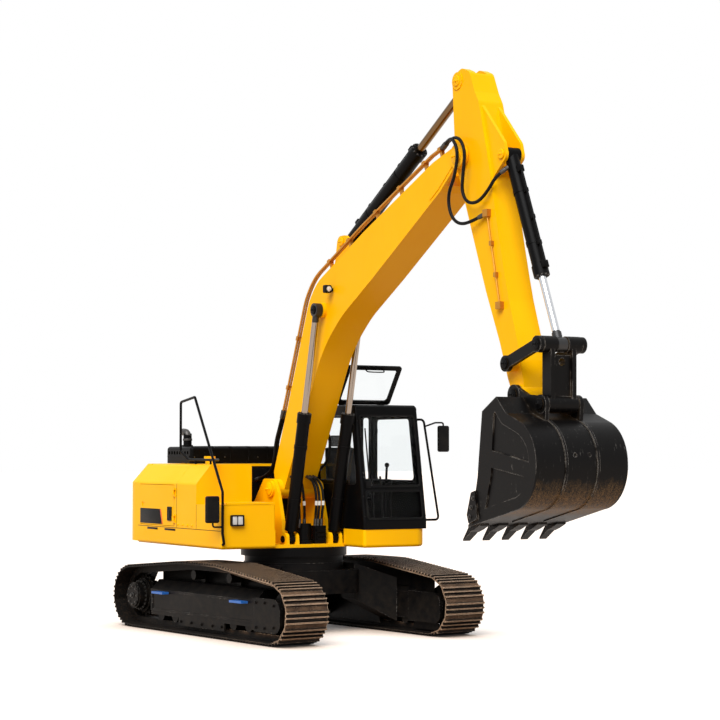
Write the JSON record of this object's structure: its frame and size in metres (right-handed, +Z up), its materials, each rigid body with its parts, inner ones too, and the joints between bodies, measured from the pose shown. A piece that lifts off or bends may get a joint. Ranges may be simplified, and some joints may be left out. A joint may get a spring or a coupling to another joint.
{
  "type": "crawler excavator",
  "caption": "Tracked excavator with a slewing upper structure, a bent boom, an arm and a toothed bucket worked by cylinders, a glazed cab and opening doors, lids and hatch.",
  "frame": {"origin": "on the ground under the slewing axis", "axes": "+X ahead along the boom, +Y to the cab's side, +Z up"},
  "size_m": [8.9748, 3.4403, 6.6326],
  "materials": {
    "yellow_paint": "satin yellow paint",
    "black_paint": "semi-matt black paint",
    "grey_paint": "dark grey paint",
    "blue_paint": "blue paint",
    "steel_dark": "worn dark steel",
    "cast": "painted casting",
    "weight": "yellow painted casting",
    "chrome_rod": "polished chrome",
    "glass": "clear glass",
    "plastic": "black moulded plastic",
    "seat_cloth": "dark cloth",
    "lamp_lens": "clear lens"
  },
  "bodies": {
    "undercarriage": {"track_right": "steel_dark", "track_left": "steel_dark", "track_frame_right": "black_paint", "track_frame_left": "black_paint", "final_drives": "black_paint", "front_idlers": "black_paint", "track_rollers": "black_paint", "foot_steps": "blue_paint", "car_body": "black_paint"},
    "boom": {"boom": "yellow_paint", "boom_pipes": "yellow_paint", "boom_lamp": "lamp_lens"},
    "arm": {"arm": "yellow_paint", "arm_pipe": "black_paint"},
    "bucket": {"bucket": "black_paint"},
    "rockers": {"rockers": "black_paint"},
    "bucket_link": {"bucket_link": "black_paint"},
    "boom_cylinder_barrels": {"boom_cylinder_barrels": "black_paint"},
    "boom_cylinder_rods": {"boom_cylinder_rods": "chrome_rod"},
    "arm_cylinder_barrel": {"arm_cylinder_barrel": "black_paint"},
    "arm_cylinder_rod": {"arm_cylinder_rod": "chrome_rod"},
    "bucket_cylinder_barrel": {"bucket_cylinder_barrel": "black_paint"},
    "bucket_cylinder_rod": {"bucket_cylinder_rod": "chrome_rod"},
    "cab_door": {"cab_door": "grey_paint", "door_glass": "glass"},
    "roof_hatch": {"roof_hatch": "grey_paint", "hatch_glass": "glass"},
    "engine_hood": {"engine_hood": "grey_paint", "exhaust_pipe": "black_paint"},
    "pump_door": {"pump_door": "yellow_paint"},
    "radiator_door": {"radiator_door": "yellow_paint"},
    "tool_box_lid": {"tool_box_lid": "yellow_paint"},
    "upper": {"cab_controls": "plastic", "cab_frame": "grey_paint", "cab_glass": "glass", "cab_roof": "grey_paint", "cab_seat": "seat_cloth", "counterweight": "weight", "engine_block": "cast", "engine_housing": "yellow_paint", "fuel_tank": "yellow_paint", "handrails": "black_paint", "mirrors": "plastic", "slew_ring": "black_paint", "swing_drive": "black_paint", "tool_box": "yellow_paint", "tool_box_lamp": "lamp_lens", "upper_frame": "yellow_paint"}
  },
  "joints": [
    {"name": "slew", "type": "hinge", "parent": "undercarriage", "child": "upper", "pos_m": [0, 0, 1], "axis": [0, 0, 1], "continuous": true},
    {"name": "boom_lift", "type": "hinge", "parent": "upper", "child": "boom", "pos_m": [0.02, 0, 1.84], "axis": [0, -1, 0], "range_deg": [-85, 18]},
    {"name": "arm_crowd", "type": "hinge", "parent": "boom", "child": "arm", "pos_m": [4.265, 0, 5.635], "axis": [0, 1, 0], "range_deg": [-76, 35]},
    {"name": "bucket_curl", "type": "hinge", "parent": "arm", "child": "bucket", "pos_m": [5.371, 0, 2.923], "axis": [0, 1, 0], "range_deg": [-60, 100]},
    {"name": "rocker_turn", "type": "hinge", "parent": "arm", "child": "rockers", "pos_m": [5.286, 0, 3.26], "axis": [0, 1, 0], "range_deg": [-45.35, 75.58]},
    {"name": "link_turn", "type": "hinge", "parent": "bucket", "child": "bucket_link", "pos_m": [5.862, 0, 2.814], "axis": [0, 1, 0], "range_deg": [-52.12, 31.27]},
    {"name": "boom_barrel_turn", "type": "hinge", "parent": "upper", "child": "boom_cylinder_barrels", "pos_m": [0.483, 0, 1.207], "axis": [0, -1, 0], "range_deg": [-82.63, 17.5]},
    {"name": "boom_rod_slide", "type": "slide", "parent": "boom_cylinder_barrels", "child": "boom_cylinder_rods", "axis": [0.2339, 0, 0.9723], "range_m": [-1.085, 0.23]},
    {"name": "arm_barrel_turn", "type": "hinge", "parent": "boom", "child": "arm_cylinder_barrel", "pos_m": [1.5, 0, 4.93], "axis": [0, 1, 0], "range_deg": [-1.15, 0.53]},
    {"name": "arm_rod_slide", "type": "slide", "parent": "arm_cylinder_barrel", "child": "arm_cylinder_rod", "axis": [0.8613, 0, 0.5082], "range_m": [-1.066, 0.491]},
    {"name": "bucket_barrel_turn", "type": "hinge", "parent": "arm", "child": "bucket_cylinder_barrel", "pos_m": [4.99, 0, 5.572], "axis": [0, 1, 0], "range_deg": [-4.04, 6.73]},
    {"name": "bucket_rod_slide", "type": "slide", "parent": "bucket_cylinder_barrel", "child": "bucket_cylinder_rod", "axis": [0.3805, 0, -0.9248], "range_m": [-0.393, 0.655]},
    {"name": "cab_door_swing", "type": "hinge", "parent": "upper", "child": "cab_door", "pos_m": [-0.226, 1.378, 2.1], "axis": [0, 0, 1], "range_deg": [0, 95]},
    {"name": "roof_hatch_lift", "type": "hinge", "parent": "upper", "child": "roof_hatch", "pos_m": [0.195, 0.88, 2.942], "axis": [0, -1, 0], "range_deg": [-55, 20]},
    {"name": "engine_hood_lift", "type": "hinge", "parent": "upper", "child": "engine_hood", "pos_m": [-1.911, 0.025, 2.179], "axis": [0, -1, 0], "range_deg": [0, 70]},
    {"name": "pump_door_swing", "type": "hinge", "parent": "upper", "child": "pump_door", "pos_m": [-0.758, -1.376, 1.62], "axis": [0, 0, 1], "range_deg": [0, 100]},
    {"name": "radiator_door_swing", "type": "hinge", "parent": "upper", "child": "radiator_door", "pos_m": [-0.758, 1.376, 1.62], "axis": [0, 0, -1], "range_deg": [0, 100]},
    {"name": "tool_box_lid_lift", "type": "hinge", "parent": "upper", "child": "tool_box_lid", "pos_m": [0.116, -0.95, 1.668], "axis": [0, -1, 0], "range_deg": [0, 80]}
  ],
  "couplings": [
    {"joint": "rocker_turn", "follows": "bucket_curl", "ratio": 0.741},
    {"joint": "link_turn", "follows": "bucket_curl", "ratio": -0.511},
    {"joint": "boom_barrel_turn", "follows": "boom_lift", "ratio": 0.9531},
    {"joint": "boom_rod_slide", "follows": "boom_lift", "m_per_rad": 0.717},
    {"joint": "arm_barrel_turn", "follows": "arm_crowd", "ratio": 0.0148},
    {"joint": "arm_rod_slide", "follows": "arm_crowd", "m_per_rad": 0.7878},
    {"joint": "bucket_barrel_turn", "follows": "bucket_curl", "ratio": 0.066},
    {"joint": "bucket_rod_slide", "follows": "bucket_curl", "m_per_rad": 0.368}
  ]
}
